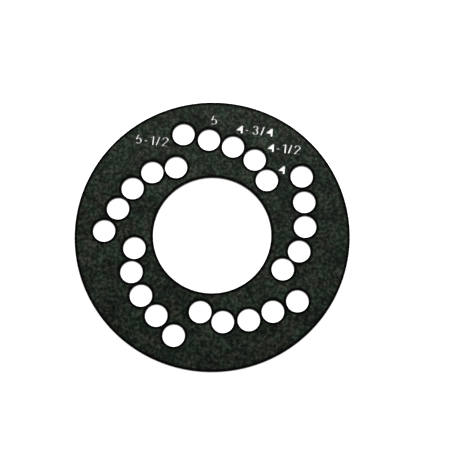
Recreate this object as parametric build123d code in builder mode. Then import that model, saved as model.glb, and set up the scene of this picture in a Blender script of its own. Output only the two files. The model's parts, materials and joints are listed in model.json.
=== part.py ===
from build123d import *
from math import cos, degrees, radians, sin
import os

# Wheel-stud template: a flat steel ring that is laid over the studs of a wheel hub to find its
# bolt circle. Five bolt circles of five holes each spiral outwards from the hub hole, and the size
# of each circle, in inches, is cut through the sheet beside its first hole.
#
# Origin: middle of the hub hole, on the underside. +Z points out of the numbered face, and +X is
# the way the numerals read. Lengths are in millimetres, directions in degrees from +X.

inch = 25.4

# Sheet
sheet_thickness = 0.1046 * inch  # 12 gauge
hub_land = 7 / 32 * inch         # metal between the hub hole and the smallest circle's holes
rim_land = 15 / 32 * inch        # metal between the largest circle's holes and the outer edge
edge_radius = 0.25               # rounding of every round edge, from tumbling

# Stud holes
stud_hole_diameter = 9 / 16 * inch
studs_per_circle = 5
first_hole_direction = 51.7      # of the smallest circle

# Size marks
numeral_height = 1 / 4 * inch
four_height = 0.88 * numeral_height
one_width = 2.4
two_width = 4.1
three_width = 4.8
four_width = 3.9
five_width = 3.7
five_lean = 1.0                  # how far to the right the stem of the 5 goes as it rises
slash_width = 2.35
dash_length = 1.9
dash_width = 0.95
numeral_gap = 1.55
stroke_width = 0.8
bar_width = 0.6                  # the level strokes of the 2 and the 5


class BoltCircle:
    # side_gap: how far apart, sideways, this circle's first hole and the one before it stand.
    # mark_direction, mark_gap: from the edge of the first hole to the near end of its size mark.
    def __init__(self, size_mark, diameter, side_gap, mark_direction, mark_gap):
        self.size_mark = size_mark
        self.radius = diameter / 2
        self.side_gap = side_gap
        self.mark_direction = mark_direction
        self.mark_gap = mark_gap


bolt_circles = [
    BoltCircle("4", 4 * inch, 0, 51, 3.8),
    BoltCircle("4-1/2", 4.5 * inch, 0.3, 51.5, 5.2),
    BoltCircle("4-3/4", 4.75 * inch, 2.1, 85, 5.7),
    BoltCircle("5", 5 * inch, 1.8, 89.5, 6.7),
    BoltCircle("5-1/2", 5.5 * inch, 1.65, 213, 4.0),
]

# Sizes that follow from the ones above
stud_hole_radius = stud_hole_diameter / 2
hub_hole_radius = bolt_circles[0].radius - stud_hole_radius - hub_land
plate_radius = bolt_circles[-1].radius + stud_hole_radius + rim_land

# Each circle's first hole stands beside the one before it, round the middle of the two circles
bolt_circles[0].direction = first_hole_direction
for inner, outer in zip(bolt_circles, bolt_circles[1:]):
    middle_radius = (inner.radius + outer.radius) / 2
    step = degrees((stud_hole_diameter + outer.side_gap) / middle_radius)
    outer.direction = inner.direction + step


# Numerals. Each is drawn with its lower left corner at the origin. A numeral is one or two paths
# that the cutter follows, each widened to its stroke. The 4 is cut round its outside, so the
# middle of it drops out.
left = stroke_width / 2
bottom = stroke_width / 2
top = numeral_height - stroke_width / 2
bar_bottom = bar_width / 2
bar_top = numeral_height - bar_width / 2


def widened(path, width):
    with BuildSketch() as stroke:
        with BuildLine():
            add(path)
            offset(amount=width / 2)
        make_face()
    return stroke.sketch


def one():
    stem = one_width - stroke_width / 2
    with BuildLine() as path:
        Polyline((left, top - stroke_width), (stem, top), (stem, bottom))
    return widened(path.line, stroke_width)


def two():
    right = two_width - stroke_width / 2
    bowl_radius = (right - left) / 2
    with BuildLine() as path:
        bowl = CenterArc((left + bowl_radius, top - bowl_radius), bowl_radius, 168, -168)
        Line(bowl @ 1, (left, bottom))
    with BuildLine() as bar:
        Line((left, bar_bottom), (right, bar_bottom))
    with BuildSketch() as numeral:
        add(widened(path.line, stroke_width))
        add(widened(bar.line, bar_width))
    return numeral.sketch


def three():
    upper_radius = (top - bottom) * 0.23
    lower_radius = (top - bottom) / 2 - upper_radius
    waist = top - 2 * upper_radius
    middle = three_width - stroke_width / 2 - lower_radius
    with BuildLine() as path:
        CenterArc((middle, waist + upper_radius), upper_radius, 165, -255)
        CenterArc((middle, waist - lower_radius), lower_radius, 90, -255)
    return widened(path.line, stroke_width)


def four():
    stem = four_width - 1.25 * stroke_width
    foot = 0.27 * numeral_height
    with BuildSketch() as numeral:
        with BuildLine():
            Polyline(
                (stem, 0),
                (four_width, 0),
                (four_width, four_height),
                (stem, four_height),
                (0, foot + stroke_width),
                (0, foot),
                (stem, foot),
                close=True,
            )
        make_face()
    return numeral.sketch


def five():
    right = five_width - stroke_width / 2
    bowl_radius = (top - bottom) * 0.31
    with BuildLine() as path:
        bowl = CenterArc((right - bowl_radius, bottom + bowl_radius), bowl_radius, 145, -275)
        stem_top = (bowl @ 0).X + five_lean
        Line(bowl @ 0, (stem_top, top))
    with BuildLine() as bar:
        Line((stem_top, bar_top), (right, bar_top))
    with BuildSketch() as numeral:
        add(widened(path.line, stroke_width))
        add(widened(bar.line, bar_width))
    return numeral.sketch


def dash():
    height = 0.4 * numeral_height
    tip = (dash_length - dash_width) / 2
    with BuildLine() as path:
        Line((one_width / 2 - tip, height), (one_width / 2 + tip, height))
    return widened(path.line, dash_width)


def slash():
    with BuildLine() as path:
        Line((left, bottom), (slash_width - stroke_width / 2, top))
    return widened(path.line, stroke_width)


# Each numeral, and the width that it takes up in a mark
numerals = {
    "1": (one(), one_width),
    "2": (two(), two_width),
    "3": (three(), three_width),
    "4": (four(), four_width),
    "5": (five(), five_width),
    "-": (dash(), one_width),
    "/": (slash(), slash_width),
}


def mark_length(size_mark):
    widths = [numerals[character][1] for character in size_mark]
    return sum(widths) + numeral_gap * (len(widths) - 1)


# The plate
with BuildPart() as template_plate:
    with BuildSketch():
        Circle(plate_radius)
        Circle(hub_hole_radius, mode=Mode.SUBTRACT)
        for circle in bolt_circles:
            with PolarLocations(circle.radius, studs_per_circle, start_angle=circle.direction):
                Circle(stud_hole_radius, mode=Mode.SUBTRACT)
    extrude(amount=sheet_thickness)
    fillet(template_plate.edges().filter_by(GeomType.CIRCLE), radius=edge_radius)

    # Size marks: one to the right of its hole starts at its near end, one to the left ends there
    with BuildSketch():
        for circle in bolt_circles:
            reach = stud_hole_radius + circle.mark_gap
            hole_direction = radians(circle.direction)
            mark_direction = radians(circle.mark_direction)
            near_end = circle.radius * cos(hole_direction) + reach * cos(mark_direction)
            mark_middle = circle.radius * sin(hole_direction) + reach * sin(mark_direction)
            pen = near_end
            if cos(mark_direction) < 0:
                pen = near_end - mark_length(circle.size_mark)
            for character in circle.size_mark:
                shape, width = numerals[character]
                with Locations((pen, mark_middle - numeral_height / 2)):
                    add(shape)
                pen += width + numeral_gap
    extrude(amount=sheet_thickness, mode=Mode.SUBTRACT)

template_plate.part.label = "template_plate"

os.makedirs("parts", exist_ok=True)
export_step(template_plate.part, "parts/template_plate.step")

print("outer diameter", round(2 * plate_radius, 2), "hub hole", round(2 * hub_hole_radius, 2))
for circle in bolt_circles:
    print(circle.size_mark, "circle", round(2 * circle.radius, 2), "first hole", round(circle.direction, 1))
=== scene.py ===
import json
from math import atan2, pi, radians

import bmesh
import bpy
from mathutils import Matrix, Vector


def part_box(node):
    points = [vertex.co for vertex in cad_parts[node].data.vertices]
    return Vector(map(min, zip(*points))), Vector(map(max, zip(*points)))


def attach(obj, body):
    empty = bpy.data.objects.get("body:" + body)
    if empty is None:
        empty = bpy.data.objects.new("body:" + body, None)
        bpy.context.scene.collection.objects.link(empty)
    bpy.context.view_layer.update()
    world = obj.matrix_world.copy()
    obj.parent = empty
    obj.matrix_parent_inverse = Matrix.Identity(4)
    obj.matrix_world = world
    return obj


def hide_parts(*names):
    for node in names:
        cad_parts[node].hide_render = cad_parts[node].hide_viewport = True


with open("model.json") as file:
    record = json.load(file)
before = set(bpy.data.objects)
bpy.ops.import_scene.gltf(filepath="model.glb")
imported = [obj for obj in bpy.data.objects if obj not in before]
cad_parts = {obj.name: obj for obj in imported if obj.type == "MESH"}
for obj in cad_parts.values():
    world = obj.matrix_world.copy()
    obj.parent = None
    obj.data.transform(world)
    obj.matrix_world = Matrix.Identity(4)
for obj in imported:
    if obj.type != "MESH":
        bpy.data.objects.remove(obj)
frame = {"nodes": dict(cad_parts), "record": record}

record = frame["record"]
mounts = {mount["name"]: mount for mount in record["mounts"]}
openings = {opening["name"]: opening for opening in record["physics"]["openings"]}
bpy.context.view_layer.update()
millimetre = 0.001


def addNode(tree, kind, x, y, values=None, **settings):
    # a value in "values" is a number, a colour or another node's output
    node = tree.nodes.new(kind)
    node.location = (x, y)
    for name, value in settings.items():
        setattr(node, name, value)
    for name, value in (values or {}).items():
        if isinstance(value, bpy.types.NodeSocket):
            tree.links.new(value, node.inputs[name])
        else:
            node.inputs[name].default_value = value
    return node


# ---- camera, lights and floor ----

view = {
    "tilt": 12.24,        # degrees from straight down
    "turn": 0.79,
    "roll": 6.2,
    "distance": 1.084,    # metres from the numbered face
    "right": 0.00836,
    "up": 0.00636,
    "lens": 134.4,
    "sensor": 36.0,
    "nearest": 0.05,      # what the camera sees starts and ends here
    "farthest": 20,
}


def addCamera(top):
    data = bpy.data.cameras.new("studioCamera")
    data.lens = view["lens"]
    data.sensor_width = view["sensor"]
    data.clip_start = view["nearest"]
    data.clip_end = view["farthest"]
    camera = bpy.data.objects.new("studioCamera", data)
    bpy.context.scene.collection.objects.link(camera)
    camera.matrix_world = (
        Matrix.Translation((0, 0, top))
        @ Matrix.Rotation(radians(view["roll"]), 4, "Z")
        @ Matrix.Rotation(radians(view["turn"]), 4, "Y")
        @ Matrix.Rotation(radians(view["tilt"]), 4, "X")
        @ Matrix.Translation((view["right"], view["up"], view["distance"]))
    )
    bpy.context.scene.camera = camera


# each soft box faces the plate from "direction" degrees round it and "height" degrees up
softBoxes = {
    "frontBox": {"direction": -84, "height": 77, "reach": 1.25, "width": 0.3, "depth": 0.3, "power": 1.2},
    "backBox": {"direction": 87, "height": 38, "reach": 0.55, "width": 0.5, "depth": 0.25, "power": 4.1},
}


def addSoftBox(name, box):
    data = bpy.data.lights.new(name, "AREA")
    data.shape = "RECTANGLE"
    data.size = box["width"]
    data.size_y = box["depth"]
    data.energy = box["power"]
    lamp = bpy.data.objects.new(name, data)
    bpy.context.scene.collection.objects.link(lamp)
    turn = Matrix.Rotation(radians(box["direction"] + 90), 4, "Z")
    lean = Matrix.Rotation(radians(90 - box["height"]), 4, "X")
    lamp.matrix_world = turn @ lean @ Matrix.Translation((0, 0, box["reach"]))


studio = {
    "floorHalf": 10.0,
    "floorColour": (0.9, 0.9, 0.89, 1),
    "floorGlow": 0.95,       # the floor is lit from below as well, like a light table
    "floorRoughness": 0.9,
    "skyColour": (1, 1, 1, 1),
    "skyStrength": 0.2,
}


def addStudio():
    half = studio["floorHalf"]
    mesh = bpy.data.meshes.new("studioFloor")
    corners = [(-half, -half, 0), (half, -half, 0), (half, half, 0), (-half, half, 0)]
    mesh.from_pydata(corners, [], [(0, 1, 2, 3)])
    floor = bpy.data.objects.new("studioFloor", mesh)
    bpy.context.scene.collection.objects.link(floor)
    paper = bpy.data.materials.new("paleFloor")
    paper.use_nodes = True
    shader = paper.node_tree.nodes["Principled BSDF"]
    shader.inputs["Base Color"].default_value = studio["floorColour"]
    shader.inputs["Roughness"].default_value = studio["floorRoughness"]
    shader.inputs["Emission Color"].default_value = studio["floorColour"]
    shader.inputs["Emission Strength"].default_value = studio["floorGlow"]
    mesh.materials.append(paper)

    sky = bpy.data.worlds.new("studioSky")
    sky.use_nodes = True
    background = sky.node_tree.nodes["Background"]
    background.inputs["Color"].default_value = studio["skyColour"]
    background.inputs["Strength"].default_value = studio["skyStrength"]
    bpy.context.scene.world = sky
    bpy.context.scene.view_settings.view_transform = "Standard"


# ---- where the holes are ----

boltCircles = ["4", "4_1_2", "4_3_4", "5", "5_1_2"]


def readSizes():
    # metres and radians, from the frame
    low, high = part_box("template_plate")
    studs = mounts["studs_4_in"]["dims"]
    sizes = {
        "Thickness": high.z - low.z,
        "Plate Radius": (high.x - low.x) / 2,
        "Hub Radius": mounts["hub_hole"]["dims"]["r_mm"] * millimetre,
        "Stud Hole Radius": studs["hole_r_mm"] * millimetre,
        "Studs per Circle": studs["count"],
    }
    for name in boltCircles:
        near, far = openings[f"stud_hole_{name}_1"]["box_m"]
        sizes[f"Circle {name} Radius"] = mounts[f"studs_{name}_in"]["dims"]["pcd_mm"] / 2 * millimetre
        sizes[f"Circle {name} First Stud"] = atan2(near[1] + far[1], near[0] + far[0])
    return sizes


# ---- black coating ----

coating = {
    "grainScale": 480,     # noise cells for each metre
    "speckScale": 1500,
    "tintScale": 170,
    "cloudScale": 60,
    "noiseRoughness": 0.6,
    "speckShare": 0.3,     # of the mottle
    "cloudShare": 0.2,     # of the whole
    "dark": (0.0002, 0.0005, 0.0002, 1),
    "middle": (0.0105, 0.0155, 0.0108, 1),
    "light": (0.0540, 0.0620, 0.0490, 1),
    "darkAt": 0.38,        # noise values, which stay near the middle of 0 to 1
    "middleAt": 0.5,
    "lightAt": 0.64,
    "greenTint": (0.80, 1.06, 0.92, 1),
    "brownTint": (1.09, 0.97, 0.93, 1),
    "greenAt": 0.4,
    "brownAt": 0.62,
    "paintedEdgeShadeColour": (0.0003, 0.0004, 0.0003, 1),    # painted shade: beside an edge and on the walls the colour goes near black; the coat there is also smoother
    "shadeAndSmoothFull": 1.2 * millimetre,
    "shadeAndSmoothEnd": 2.4 * millimetre,
    "shadeAndSmoothAmount": 0.97,
    "buildUpRoughness": 0.22,
    "rubAndGlintColour": (0.045, 0.045, 0.042, 1),           # worn specks on the rounded edges, partly wear and partly a painted highlight where the rounding slants
    "rubAndGlintStart": 0.53,
    "rubAndGlintFull": 0.62,
    "smooth": 0.52,        # roughness where the grain is low
    "rough": 0.74,
    "smoothAt": 0.3,
    "roughAt": 0.7,
    "relief": 0.06 * millimetre,
    "gloss": 0.07,
}


def edgeDistance(tree, x, y, place, sizes):
    # how far a point of the face is from the rim, the hub hole or the nearest stud hole
    def calc(operation, *values):
        node = addNode(tree, "ShaderNodeMath", x, y, operation=operation)
        for socket, value in zip(node.inputs, values):
            if isinstance(value, bpy.types.NodeSocket):
                tree.links.new(value, socket)
            else:
                socket.default_value = value
        return node.outputs[0]

    parts = addNode(tree, "ShaderNodeSeparateXYZ", x, y, {0: place})
    angle = calc("ARCTAN2", parts.outputs["Y"], parts.outputs["X"])
    square = calc("MULTIPLY_ADD", parts.outputs["X"], parts.outputs["X"],
                  calc("MULTIPLY", parts.outputs["Y"], parts.outputs["Y"]))
    radius = calc("SQRT", square)
    nearest = calc("MINIMUM", calc("SUBTRACT", sizes["Plate Radius"], radius),
                   calc("SUBTRACT", radius, sizes["Hub Radius"]))
    half = pi / sizes["Studs per Circle"]
    for name in boltCircles:
        ring = sizes[f"Circle {name} Radius"]
        turned = calc("SUBTRACT", angle, sizes[f"Circle {name} First Stud"])
        within = calc("WRAP", turned, half, -half)
        reach = calc("MULTIPLY", calc("MULTIPLY", radius, calc("COSINE", within)), -2 * ring)
        away = calc("SQRT", calc("ADD", calc("ADD", square, ring ** 2), reach))
        nearest = calc("MINIMUM", nearest, calc("SUBTRACT", away, sizes["Stud Hole Radius"]))
    return nearest


def mixColours(tree, x, y, factor, first, second, blend="MIX"):
    node = addNode(tree, "ShaderNodeMix", x, y, data_type="RGBA", blend_type=blend)
    inputs = {socket.identifier: socket for socket in node.inputs}
    for name, value in (("Factor_Float", factor), ("A_Color", first), ("B_Color", second)):
        if isinstance(value, bpy.types.NodeSocket):
            tree.links.new(value, inputs[name])
        else:
            inputs[name].default_value = value
    return next(socket for socket in node.outputs if socket.identifier == "Result_Color")


def makeCoating(sizes):
    material = bpy.data.materials.new("blackTexturedCoating")
    material.use_nodes = True
    tree = material.node_tree
    shader = tree.nodes["Principled BSDF"]
    place = addNode(tree, "ShaderNodeTexCoord", -1600, 0).outputs["Object"]

    def noise(y, scale, detail):
        node = addNode(tree, "ShaderNodeTexNoise", -1200, y,
                       {"Vector": place, "Scale": scale, "Detail": detail,
                        "Roughness": coating["noiseRoughness"]})
        return node.outputs["Fac"]

    grain = noise(300, coating["grainScale"], 3)
    speck = noise(50, coating["speckScale"], 2)
    cloud = noise(-200, coating["cloudScale"], 3)
    tint = noise(-450, coating["tintScale"], 2)

    mottle = addNode(tree, "ShaderNodeMix", -900, 300,
                     {"Factor": coating["speckShare"], "A": grain, "B": speck})
    uneven = addNode(tree, "ShaderNodeMix", -700, 300,
                     {"Factor": coating["cloudShare"], "A": mottle.outputs["Result"], "B": cloud})
    colour = addNode(tree, "ShaderNodeValToRGB", -500, 300, {"Fac": uneven.outputs["Result"]})
    ramp = colour.color_ramp
    ramp.elements[0].position = coating["darkAt"]
    ramp.elements[0].color = coating["dark"]
    ramp.elements[1].position = coating["lightAt"]
    ramp.elements[1].color = coating["light"]
    ramp.elements.new(coating["middleAt"]).color = coating["middle"]
    hue = addNode(tree, "ShaderNodeValToRGB", -700, -450, {"Fac": tint})
    hue.color_ramp.elements[0].position = coating["greenAt"]
    hue.color_ramp.elements[0].color = coating["greenTint"]
    hue.color_ramp.elements[1].position = coating["brownAt"]
    hue.color_ramp.elements[1].color = coating["brownTint"]
    tinted = mixColours(tree, -300, 300, 1, colour.outputs["Color"], hue.outputs["Color"], "MULTIPLY")

    # painted shade near each edge: this band and the wall mask below darken the colour, and the same mask
    # lowers the roughness
    shadeAndSmooth = addNode(tree, "ShaderNodeMapRange", -500, 50, {
        "Value": edgeDistance(tree, -1600, -600, place, sizes),
        "From Min": coating["shadeAndSmoothFull"], "From Max": coating["shadeAndSmoothEnd"],
        "To Min": coating["shadeAndSmoothAmount"], "To Max": 0,
    }, interpolation_type="SMOOTHSTEP")
    onWall = addNode(tree, "ShaderNodeAttribute", -500, -200, attribute_name="nearEdge")
    edge = addNode(tree, "ShaderNodeMath", -300, 0, {
        0: shadeAndSmooth.outputs["Result"], 1: onWall.outputs["Fac"],
    }, operation="MAXIMUM")
    # painted shade mixed into the colour beside the edges and on the walls
    shade = mixColours(tree, -100, 250, edge.outputs[0], tinted, coating["paintedEdgeShadeColour"])

    # painted highlight and wear: lighter specks in the middle of each rounded edge
    onCorner = addNode(tree, "ShaderNodeAttribute", -500, -400, attribute_name="onCorner")
    rubAndGlintSpecks = addNode(tree, "ShaderNodeMapRange", -500, -600, {
        "Value": uneven.outputs["Result"],
        "From Min": coating["rubAndGlintStart"], "From Max": coating["rubAndGlintFull"],
    })
    rubAndGlint = addNode(tree, "ShaderNodeMath", -300, -400, {
        0: onCorner.outputs["Fac"], 1: rubAndGlintSpecks.outputs["Result"],
    }, operation="MULTIPLY")
    shade = mixColours(tree, 100, 250, rubAndGlint.outputs[0], shade, coating["rubAndGlintColour"])

    sheen = addNode(tree, "ShaderNodeMapRange", -100, -100, {
        "Value": grain, "From Min": coating["smoothAt"], "From Max": coating["roughAt"],
        "To Min": coating["smooth"], "To Max": coating["rough"],
    })
    smoother = addNode(tree, "ShaderNodeMix", 100, -100, {
        "Factor": edge.outputs[0], "A": sheen.outputs["Result"], "B": coating["buildUpRoughness"],
    })
    bump = addNode(tree, "ShaderNodeBump", 100, -300, {
        "Height": mottle.outputs["Result"], "Strength": 1, "Distance": coating["relief"],
    })
    tree.links.new(shade, shader.inputs["Base Color"])
    tree.links.new(smoother.outputs["Result"], shader.inputs["Roughness"])
    tree.links.new(bump.outputs["Normal"], shader.inputs["Normal"])
    shader.inputs["Specular IOR Level"].default_value = coating["gloss"]
    shader.location = (350, 200)
    return material


# ---- the plate ----

plate = {
    "rimSides": 360,
    "hubSides": 240,
    "studSides": 90,
    "edgeRadius": 0.25 * millimetre,
    "markEdgeRadius": 0.08 * millimetre,
    "edgeBand": 0.2 * millimetre,      # strip of the face beside an edge
    "markEdgeBand": 0.1 * millimetre,
    "roundingSteps": 6,
    "wallAngle": 60,      # degrees: a numeral's wall meets the face more sharply than a rounded edge does
    "cornerAngle": 30,    # degrees that an outline turns at a corner
    "cornerRoom": 1.6,    # widths of the edge strip that a corner of metal keeps free of other points
    "sameSpot": 0.001 * millimetre,    # CAD points closer than this are one point
    "seamGap": 0.002 * millimetre,     # walls and faces are joined across this
    "levelSlack": 0.01 * millimetre,
}


def clearCorners(loop):
    # where metal points into a numeral, close points would make the edge strip cross itself
    room = plate["cornerRoom"] * (plate["markEdgeRadius"] + plate["markEdgeBand"])
    corners = []
    for before, here, after in zip(loop[-1:] + loop[:-1], loop, loop[1:] + loop[:1]):
        if (here - before).angle_signed(after - here) > radians(plate["cornerAngle"]):
            corners.append(here)
    return [point for point in loop
            if point in corners or all((point - corner).length > room for corner in corners)]


def markOutlines(node):
    # the numerals' outlines on the upper face of the CAD plate, each in order and anticlockwise
    mesh = bmesh.new()
    mesh.from_mesh(node.data)
    bmesh.ops.remove_doubles(mesh, verts=mesh.verts, dist=plate["sameSpot"])
    top = max(vert.co.z for vert in mesh.verts) - plate["sameSpot"]
    sharp = radians(plate["wallAngle"])
    beside = {}
    for edge in mesh.edges:
        onTop = all(vert.co.z > top for vert in edge.verts)
        if onTop and len(edge.link_faces) == 2 and edge.calc_face_angle(0) > sharp:
            first, second = edge.verts
            beside.setdefault(first, []).append(second)
            beside.setdefault(second, []).append(first)
    outlines = []
    while beside:
        vert = next(iter(beside))
        loop = []
        while vert in beside:
            loop.append(vert.co.to_2d())
            ahead = beside.pop(vert)
            vert = next((other for other in ahead if other in beside), None)
        area = sum(a.cross(b) for a, b in zip(loop, loop[1:] + loop[:1]))
        outlines.append(clearCorners(loop if area > 0 else loop[::-1]))
    mesh.free()
    return outlines


def outlineCurves(outlines):
    curve = bpy.data.curves.new("numeralOutlines", "CURVE")
    curve.dimensions = "3D"
    for points in outlines:
        spline = curve.splines.new("POLY")
        spline.points.add(len(points) - 1)
        for corner, point in zip(spline.points, points):
            corner.co = (point.x, point.y, 0, 1)
        spline.use_cyclic_u = True
    return curve


def addWall(tree, x, y, loops, radius, band, sizes):
    # sweeps a rounded edge, the wall and the lower rounded edge along loops that lie at the upper face
    flange = addNode(tree, "ShaderNodeMath", x, y - 200, {0: radius, 1: band}, operation="ADD")
    near = addNode(tree, "ShaderNodeCombineXYZ", x + 180, y - 200, {"X": flange.outputs[0]})
    deep = addNode(tree, "ShaderNodeCombineXYZ", x + 180, y - 340, {"Y": sizes["Thickness"]})
    far = addNode(tree, "ShaderNodeCombineXYZ", x + 180, y - 480,
                  {"X": flange.outputs[0], "Y": sizes["Thickness"]})
    index = addNode(tree, "GeometryNodeInputIndex", x + 180, y - 60)
    corner = addNode(tree, "GeometryNodeIndexSwitch", x + 360, y - 200, data_type="VECTOR")
    corner.index_switch_items.new()
    corner.index_switch_items.new()
    for name, source in (("Index", index), ("0", near), ("2", deep), ("3", far)):
        tree.links.new(source.outputs[0], corner.inputs[name])
    row = addNode(tree, "GeometryNodeMeshLine", x, y, {"Count": 4})
    strip = addNode(tree, "GeometryNodeMeshToCurve", x + 180, y, {"Mesh": row.outputs["Mesh"]})
    bent = addNode(tree, "GeometryNodeSetPosition", x + 540, y, {
        "Geometry": strip.outputs["Curve"], "Position": corner.outputs[0],
    })
    rounded = addNode(tree, "GeometryNodeFilletCurve", x + 720, y, {
        "Curve": bent.outputs["Geometry"], "Count": sizes["Rounding Steps"], "Radius": radius,
    }, mode="POLY")

    # 0 where the strip ends on the face, 1 on the wall
    place = addNode(tree, "GeometryNodeInputPosition", x + 720, y - 200)
    across = addNode(tree, "ShaderNodeSeparateXYZ", x + 900, y - 200, {0: place.outputs[0]})
    close = addNode(tree, "ShaderNodeMapRange", x + 1080, y - 200, {
        "Value": across.outputs["X"], "From Min": flange.outputs[0], "From Max": radius,
    })
    marked = addNode(tree, "GeometryNodeStoreNamedAttribute", x + 1260, y, {
        "Geometry": rounded.outputs["Curve"], "Name": "nearEdge", "Value": close.outputs["Result"],
    }, domain="POINT")

    # 1 in the middle of a rounded edge, where the profile slants, 0 where it is straight
    slant = addNode(tree, "GeometryNodeInputTangent", x + 900, y - 400)
    sides = addNode(tree, "ShaderNodeSeparateXYZ", x + 1080, y - 400, {0: slant.outputs[0]})
    both = addNode(tree, "ShaderNodeMath", x + 1260, y - 400,
                   {0: sides.outputs["X"], 1: sides.outputs["Y"]}, operation="MULTIPLY")
    size = addNode(tree, "ShaderNodeMath", x + 1440, y - 400, {0: both.outputs[0]}, operation="ABSOLUTE")
    double = addNode(tree, "ShaderNodeMath", x + 1440, y - 550,
                     {0: size.outputs[0], 1: 2}, operation="MULTIPLY")
    cornered = addNode(tree, "GeometryNodeStoreNamedAttribute", x + 1440, y, {
        "Geometry": marked.outputs["Geometry"], "Name": "onCorner", "Value": double.outputs[0],
    }, domain="POINT")
    swept = addNode(tree, "GeometryNodeCurveToMesh", x + 1620, y, {
        "Curve": loops, "Profile Curve": cornered.outputs["Geometry"],
    })
    outward = addNode(tree, "GeometryNodeFlipFaces", x + 1800, y, {"Mesh": swept.outputs["Mesh"]})
    return outward.outputs["Mesh"]


def addFace(tree, x, y, walls, level, isUpper):
    # fills what the walls leave open at one level
    loose = addNode(tree, "GeometryNodeInputMeshEdgeNeighbors", x, y - 200)
    place = addNode(tree, "GeometryNodeInputPosition", x, y - 300)
    height = addNode(tree, "ShaderNodeSeparateXYZ", x + 180, y - 300, {0: place.outputs[0]})
    here = addNode(tree, "FunctionNodeCompare", x + 360, y - 300, {
        "A": height.outputs["Z"], "B": level, "Epsilon": plate["levelSlack"],
    }, operation="EQUAL")
    lone = addNode(tree, "FunctionNodeCompare", x + 180, y - 150, data_type="INT", operation="EQUAL")
    ends = [socket for socket in lone.inputs if socket.enabled]
    tree.links.new(loose.outputs["Face Count"], ends[0])
    ends[1].default_value = 1
    both = addNode(tree, "FunctionNodeBooleanMath", x + 540, y - 200,
                   {0: lone.outputs[0], 1: here.outputs[0]}, operation="AND")
    rings = addNode(tree, "GeometryNodeMeshToCurve", x + 720, y,
                    {"Mesh": walls, "Selection": both.outputs[0]})
    filled = addNode(tree, "GeometryNodeFillCurve", x + 900, y, {"Curve": rings.outputs["Curve"]})
    lift = addNode(tree, "ShaderNodeCombineXYZ", x + 900, y - 200, {"Z": level})
    moved = addNode(tree, "GeometryNodeTransform", x + 1080, y, {
        "Geometry": filled.outputs["Mesh"], "Translation": lift.outputs[0],
    })
    if isUpper:
        return moved.outputs["Geometry"]
    downward = addNode(tree, "GeometryNodeFlipFaces", x + 1260, y, {"Mesh": moved.outputs["Geometry"]})
    return downward.outputs["Mesh"]


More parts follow.
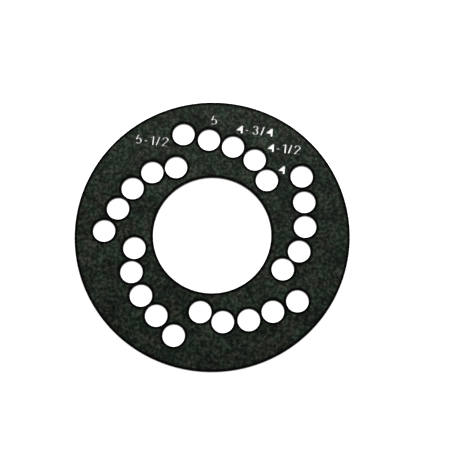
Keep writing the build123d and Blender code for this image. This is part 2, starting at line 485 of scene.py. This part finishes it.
def makePlateTree():
    tree = bpy.data.node_groups.new("boltCircleTemplate", "GeometryNodeTree")
    face = tree.interface
    face.new_socket(name="Geometry", in_out="OUTPUT", socket_type="NodeSocketGeometry")
    face.new_socket(name="Numeral Outlines", in_out="INPUT", socket_type="NodeSocketGeometry")
    for name in ("Thickness", "Plate Radius", "Hub Radius", "Stud Hole Radius", "Edge Radius",
                 "Edge Band", "Mark Edge Radius", "Mark Edge Band"):
        socket = face.new_socket(name=name, in_out="INPUT", socket_type="NodeSocketFloat")
        socket.subtype = "DISTANCE"
    for name in ("Rim Sides", "Hub Sides", "Stud Hole Sides", "Rounding Steps", "Studs per Circle"):
        face.new_socket(name=name, in_out="INPUT", socket_type="NodeSocketInt")
    for name in boltCircles:
        for ending, subtype in (("Radius", "DISTANCE"), ("First Stud", "ANGLE")):
            socket = face.new_socket(name=f"Circle {name} {ending}", in_out="INPUT",
                                     socket_type="NodeSocketFloat")
            socket.subtype = subtype
    face.new_socket(name="Coating", in_out="INPUT", socket_type="NodeSocketMaterial")
    sizes = addNode(tree, "NodeGroupInput", -1800, 0).outputs

    def circle(y, sides, radius):
        return addNode(tree, "GeometryNodeCurvePrimitiveCircle", -1200, y,
                       {"Resolution": sides, "Radius": radius}).outputs["Curve"]

    # five stud positions on each bolt circle, and a round hole at each
    stations = addNode(tree, "GeometryNodeJoinGeometry", -900, -600)
    for step, name in enumerate(boltCircles):
        y = -600 - 250 * step
        ring = addNode(tree, "GeometryNodeMeshCircle", -1400, y, {
            "Vertices": sizes["Studs per Circle"], "Radius": sizes[f"Circle {name} Radius"],
        })
        spin = addNode(tree, "ShaderNodeCombineXYZ", -1400, y - 130,
                       {"Z": sizes[f"Circle {name} First Stud"]})
        turned = addNode(tree, "GeometryNodeTransform", -1150, y, {
            "Geometry": ring.outputs["Mesh"], "Rotation": spin.outputs[0],
        })
        tree.links.new(turned.outputs["Geometry"], stations.inputs["Geometry"])
    studHoles = addNode(tree, "GeometryNodeInstanceOnPoints", -650, -600, {
        "Points": stations.outputs["Geometry"],
        "Instance": circle(-400, sizes["Stud Hole Sides"], sizes["Stud Hole Radius"]),
    })
    realHoles = addNode(tree, "GeometryNodeRealizeInstances", -450, -600,
                        {"Geometry": studHoles.outputs["Instances"]})

    # the rim runs clockwise, so that the metal lies on the same side of it as of a hole
    rim = addNode(tree, "GeometryNodeReverseCurve", -900, 0,
                  {"Curve": circle(0, sizes["Rim Sides"], sizes["Plate Radius"])})
    rounds = addNode(tree, "GeometryNodeJoinGeometry", -250, -200)
    hub = circle(-200, sizes["Hub Sides"], sizes["Hub Radius"])
    for loop in (rim.outputs["Curve"], hub, realHoles.outputs["Geometry"]):
        tree.links.new(loop, rounds.inputs["Geometry"])

    upper = addNode(tree, "ShaderNodeCombineXYZ", -250, 200, {"Z": sizes["Thickness"]})
    walls = addNode(tree, "GeometryNodeJoinGeometry", 1900, 0)
    for y, loops, radius, band in (
        (-200, rounds.outputs["Geometry"], "Edge Radius", "Edge Band"),
        (600, sizes["Numeral Outlines"], "Mark Edge Radius", "Mark Edge Band"),
    ):
        lifted = addNode(tree, "GeometryNodeTransform", -50, y,
                         {"Geometry": loops, "Translation": upper.outputs[0]})
        wall = addWall(tree, 200, y, lifted.outputs["Geometry"], sizes[radius], sizes[band], sizes)
        smooth = addNode(tree, "GeometryNodeSetShadeSmooth", 2000, y, {"Geometry": wall})
        tree.links.new(smooth.outputs["Geometry"], walls.inputs["Geometry"])

    whole = addNode(tree, "GeometryNodeJoinGeometry", 3500, 0)
    tree.links.new(walls.outputs["Geometry"], whole.inputs["Geometry"])
    for y, level, isUpper in ((400, sizes["Thickness"], True), (-400, 0, False)):
        skin = addFace(tree, 2100, y, walls.outputs["Geometry"], level, isUpper)
        flat = addNode(tree, "GeometryNodeSetShadeSmooth", 3300, y, {"Geometry": skin, "Shade Smooth": False})
        tree.links.new(flat.outputs["Geometry"], whole.inputs["Geometry"])
    welded = addNode(tree, "GeometryNodeMergeByDistance", 3700, 0,
                     {"Geometry": whole.outputs["Geometry"], "Distance": plate["seamGap"]})
    real = addNode(tree, "GeometryNodeRealizeInstances", 3900, 0, {"Geometry": welded.outputs["Geometry"]})
    coated = addNode(tree, "GeometryNodeSetMaterial", 4100, 0,
                     {"Geometry": real.outputs["Geometry"], "Material": sizes["Coating"]})
    result = addNode(tree, "NodeGroupOutput", 4300, 0)
    tree.links.new(coated.outputs["Geometry"], result.inputs["Geometry"])
    return tree


def setInputs(modifier, values):
    identifiers = {item.name: item.identifier for item in modifier.node_group.interface.items_tree
                   if item.item_type == "SOCKET" and item.in_out == "INPUT"}
    for name, value in values.items():
        modifier[identifiers[name]] = value


def makePlate(sizes, coatingMaterial):
    values = dict(sizes)
    values.update({
        "Edge Radius": plate["edgeRadius"],
        "Edge Band": plate["edgeBand"],
        "Mark Edge Radius": plate["markEdgeRadius"],
        "Mark Edge Band": plate["markEdgeBand"],
        "Rim Sides": plate["rimSides"],
        "Hub Sides": plate["hubSides"],
        "Stud Hole Sides": plate["studSides"],
        "Rounding Steps": plate["roundingSteps"],
        "Coating": coatingMaterial,
    })
    outlines = markOutlines(frame["nodes"]["template_plate"])
    print("numeral outlines:", len(outlines))
    maker = bpy.data.objects.new("plateMaker", outlineCurves(outlines))
    bpy.context.scene.collection.objects.link(maker)
    modifier = maker.modifiers.new("boltCircleTemplate", "NODES")
    modifier.node_group = makePlateTree()
    setInputs(modifier, values)
    mesh = bpy.data.meshes.new_from_object(maker.evaluated_get(bpy.context.evaluated_depsgraph_get()))
    bpy.data.objects.remove(maker)
    mesh.name = "coatedPlate"
    piece = bpy.data.objects.new("coatedPlate", mesh)
    bpy.context.scene.collection.objects.link(piece)
    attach(piece, "root")
    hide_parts("template_plate")
    return piece


print("camera, lights and floor")
addCamera(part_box("template_plate")[1].z)
for name, box in softBoxes.items():
    addSoftBox(name, box)
addStudio()

print("plate")
plateSizes = readSizes()
coatedPlate = makePlate(plateSizes, makeCoating(plateSizes))
